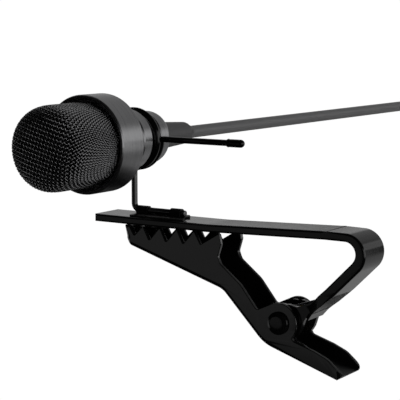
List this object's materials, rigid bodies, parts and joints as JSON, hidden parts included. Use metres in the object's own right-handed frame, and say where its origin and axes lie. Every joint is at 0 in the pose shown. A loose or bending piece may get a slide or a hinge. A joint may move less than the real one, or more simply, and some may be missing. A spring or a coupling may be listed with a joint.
{
  "type": "lavalier microphone",
  "caption": "Clip-on lapel microphone: a mesh-domed capsule head held in a spring-wire loop on a swivelling alligator clip, with its lead and jack plug.",
  "frame": {"origin": "centre of the line where the jaw's teeth meet the underside of the clip strip", "axes": "+X along the clip strip towards its bend, -Y the way the microphone faces, +Z from the jaw up through the strip to the microphone"},
  "size_m": [0.0413, 0.146, 0.0923],
  "materials": {
    "clip_lacquer": "glossy black lacquer on stamped steel",
    "wire_black": "glossy black coating on spring wire",
    "spring_steel": "plain drawn spring wire",
    "bush_brass": "turned",
    "mesh_black": "satin black woven wire mesh",
    "foam_black": "open-cell foam",
    "body_black": "satin black, fine turned lines",
    "capsule_metal": "drawn can",
    "membrane_gold": "metallised film",
    "board_green": "printed circuit board",
    "core_insulation": "coloured core insulation",
    "rubber_black": "satin black",
    "cable_black": "smooth satin black jacket",
    "tie_fabric": "woven hook-and-loop strap",
    "plug_black": "satin black, turned",
    "contact_metal": "bright plated",
    "insulator_black": "moulded"
  },
  "bodies": {
    "clip_frame": {"clip_bow": "clip_lacquer", "jaw_rivet": "clip_lacquer", "pivot_bush": "bush_brass", "torsion_spring": "spring_steel", "swivel_rivet": "clip_lacquer", "swivel_washer": "spring_steel"},
    "jaw_lever": {"jaw": "clip_lacquer"},
    "wire_holder": {"holder_plate": "clip_lacquer", "holder_wire": "wire_black", "holder_loop": "wire_black", "cable_run": "cable_black", "cable_coil": "cable_black", "cable_tie": "tie_fabric", "cable_tail": "cable_black", "plug_boot": "rubber_black", "plug_body": "plug_black", "plug_sleeve": "contact_metal", "plug_insulators": "insulator_black", "plug_ring": "contact_metal", "plug_tip": "contact_metal"},
    "press_arm": {"release_arm": "wire_black", "arm_cap": "wire_black"},
    "microphone": {"grille_mesh": "mesh_black", "grille_foam": "foam_black", "grille_collar": "body_black", "capsule_case": "capsule_metal", "capsule_diaphragm": "membrane_gold", "capsule_backplate": "capsule_metal", "capsule_board": "board_green", "capsule_ring": "rubber_black", "rear_body": "body_black", "vent_screen": "mesh_black", "lead_wires": "core_insulation", "cable_clamp": "bush_brass", "cable_end": "cable_black", "rear_cap": "body_black", "cable_boot": "rubber_black"},
    "plug_lock": {"lock_ring": "plug_black"}
  },
  "joints": [
    {"name": "jaw_opens", "type": "hinge", "parent": "clip_frame", "child": "jaw_lever", "pos_m": [0.01594, 0, -0.01032], "axis": [0, -1, 0], "range_deg": [0, 25], "stiffness_Nm_per_rad": 0.15, "springref_deg": -20.05, "deforming": ["torsion_spring"]},
    {"name": "holder_swivels", "type": "hinge", "parent": "clip_frame", "child": "wire_holder", "pos_m": [-0.0035, 0, 0.001], "axis": [0, 0, 1], "continuous": true},
    {"name": "arm_pressed", "type": "hinge", "parent": "wire_holder", "child": "press_arm", "pos_m": [-0.0076, 0.00084, 0.01095], "axis": [0, 1, 0], "range_deg": [0, 14], "stiffness_Nm_per_rad": 0.15, "deforming": ["holder_loop"]},
    {"name": "microphone_turns", "type": "hinge", "parent": "wire_holder", "child": "microphone", "pos_m": [-0.0076, 0, 0.01095], "axis": [0, 1, 0], "continuous": true},
    {"name": "lock_ring_turns", "type": "hinge", "parent": "wire_holder", "child": "plug_lock", "pos_m": [-0.005, 0.08865, -0.059], "axis": [0, 0, 1], "continuous": true}
  ]
}
